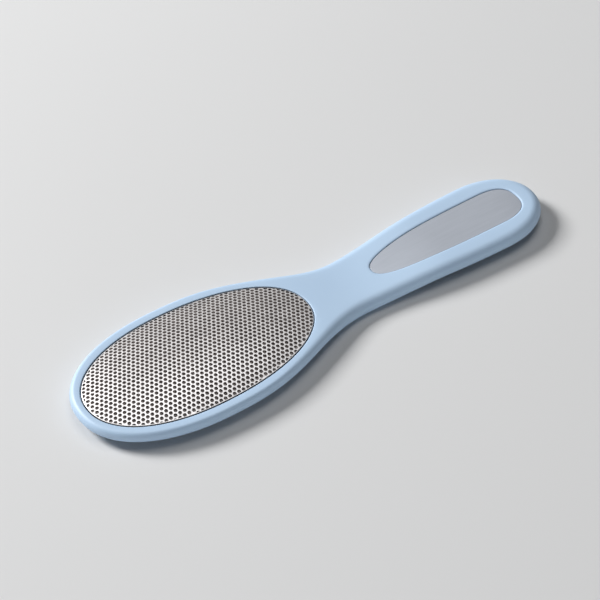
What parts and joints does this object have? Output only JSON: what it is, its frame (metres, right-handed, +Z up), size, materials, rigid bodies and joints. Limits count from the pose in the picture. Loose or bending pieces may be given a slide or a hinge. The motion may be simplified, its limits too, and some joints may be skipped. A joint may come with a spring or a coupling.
{
  "type": "foot file",
  "caption": "Paddle foot file: oval head with a domed perforated metal file plate, waisted neck, handle with a flat inlay and a fine pad under the head.",
  "frame": {"origin": "middle of the object's box, on the surface that it rests on", "axes": "+X from the head's tip to the handle's end, +Y across, +Z up out of the file plate"},
  "size_m": [0.21, 0.0596, 0.0115],
  "materials": {
    "body_top": "light blue moulded plastic with a satin soft-touch coat",
    "body_bottom": "light blue moulded plastic with a satin soft-touch coat",
    "file_steel": "bright pressed and punched steel",
    "carrier": "dark matt plastic",
    "film": "pale adhesive film",
    "inlay": "grey plastic with a satin face",
    "fine_grit": "fine grey abrasive grain",
    "foam": "pale closed-cell foam"
  },
  "bodies": {
    "root": {"upper_shell": "body_top", "lower_shell": "body_bottom", "file_plate": "file_steel", "plate_carrier": "carrier", "carrier_film": "film", "handle_inlay": "inlay", "inlay_film": "film", "fine_sheet": "fine_grit", "pad_foam": "foam", "pad_film": "film"}
  },
  "joints": []
}
